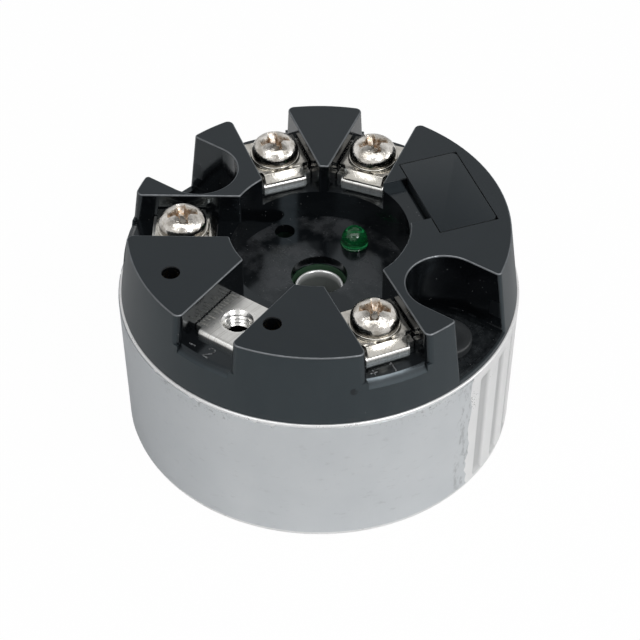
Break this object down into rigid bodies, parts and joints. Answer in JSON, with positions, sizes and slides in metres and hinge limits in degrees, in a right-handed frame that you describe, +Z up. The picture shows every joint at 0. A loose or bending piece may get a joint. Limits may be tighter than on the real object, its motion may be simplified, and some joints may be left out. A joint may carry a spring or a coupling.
{
  "type": "temperature transmitter",
  "caption": "Round head-mounting temperature transmitter: silver cup, black terminal block with screw clamps, hinged cover, green light and centre wire passage.",
  "frame": {"origin": "centre of the base, midway between the two mounting holes", "axes": "+Z up through the wire passage, +X through the mounting holes"},
  "size_m": [0.0441, 0.0441, 0.0266],
  "materials": {
    "cup_silver": "satin cast surface",
    "label_foil": "satin foil",
    "block_black": "satin, glossy in the channels",
    "cover_black": "satin",
    "nickel": "bright nickel plating",
    "screw_nickel": "bright nickel plating",
    "lens_green": "clear green",
    "board_green": "solder mask",
    "sleeve_metal": "bright edge",
    "cap_grey": "satin",
    "brass": "plain",
    "connector_black": "satin",
    "chip_black": "matt",
    "chip_white": "matt",
    "capacitor_can": "drawn",
    "ferrite": "matt",
    "potting_grey": "cast"
  },
  "bodies": {
    "housing": {"housing_cup": "cup_silver", "wrap_label": "label_foil", "terminal_block": "block_black", "terminal_plate_1": "nickel", "terminal_plate_2": "nickel", "terminal_plate_3": "nickel", "terminal_plate_4": "nickel", "terminal_plate_5": "nickel", "led_lens": "lens_green", "led_chip": "chip_white", "centre_sleeve": "sleeve_metal", "hole_cap_1": "cap_grey", "hole_cap_2": "cap_grey", "terminal_board": "board_green", "main_board": "board_green", "board_connector": "connector_black", "interface_connector": "connector_black", "isolation_transformer": "ferrite", "storage_capacitor_1": "capacitor_can", "storage_capacitor_2": "capacitor_can", "processor_chip": "chip_black", "converter_chip": "chip_black", "test_contact_1": "brass", "test_contact_2": "brass", "potting": "potting_grey"},
    "clamp_1": {"clamp_plate_1": "nickel", "lock_washer_1": "nickel"},
    "screw_1": {"terminal_screw_1": "screw_nickel"},
    "clamp_2": {"clamp_plate_2": "nickel", "lock_washer_2": "nickel"},
    "screw_2": {"terminal_screw_2": "screw_nickel"},
    "clamp_3": {"clamp_plate_3": "nickel", "lock_washer_3": "nickel"},
    "screw_3": {"terminal_screw_3": "screw_nickel"},
    "clamp_4": {"clamp_plate_4": "nickel", "lock_washer_4": "nickel"},
    "screw_4": {"terminal_screw_4": "screw_nickel"},
    "cover": {"interface_cover": "cover_black"}
  },
  "joints": [
    {"name": "clamp_1_lift", "type": "slide", "parent": "housing", "child": "clamp_1", "axis": [0, 0, 1], "range_m": [0, 0.0016]},
    {"name": "screw_1_turn", "type": "hinge", "parent": "clamp_1", "child": "screw_1", "pos_m": [-0.01292, -0.00733, 0.02455], "axis": [0, 0, 1], "range_deg": [0, 1152]},
    {"name": "clamp_2_lift", "type": "slide", "parent": "housing", "child": "clamp_2", "axis": [0, 0, 1], "range_m": [0, 0.0016]},
    {"name": "screw_2_turn", "type": "hinge", "parent": "clamp_2", "child": "screw_2", "pos_m": [-0.01209, 0.00853, 0.02455], "axis": [0, 0, 1], "range_deg": [0, 1152]},
    {"name": "clamp_3_lift", "type": "slide", "parent": "housing", "child": "clamp_3", "axis": [0, 0, 1], "range_m": [0, 0.0016]},
    {"name": "screw_3_turn", "type": "hinge", "parent": "clamp_3", "child": "screw_3", "pos_m": [-0.00287, 0.01454, 0.02455], "axis": [0, 0, 1], "range_deg": [0, 1152]},
    {"name": "clamp_4_lift", "type": "slide", "parent": "housing", "child": "clamp_4", "axis": [0, 0, 1], "range_m": [0, 0.0016]},
    {"name": "screw_4_turn", "type": "hinge", "parent": "clamp_4", "child": "screw_4", "pos_m": [0.01255, -0.00784, 0.02455], "axis": [0, 0, 1], "range_deg": [0, 1152]},
    {"name": "cover_hinge", "type": "hinge", "parent": "housing", "child": "cover", "pos_m": [0.01002, 0.0149, 0.02555], "axis": [-0.8171, 0.5764, 0], "range_deg": [0, 95]}
  ],
  "couplings": [
    {"joint": "screw_1_turn", "follows": "clamp_1_lift", "rad_per_m": 12566},
    {"joint": "screw_2_turn", "follows": "clamp_2_lift", "rad_per_m": 12566},
    {"joint": "screw_3_turn", "follows": "clamp_3_lift", "rad_per_m": 12566},
    {"joint": "screw_4_turn", "follows": "clamp_4_lift", "rad_per_m": 12566}
  ]
}
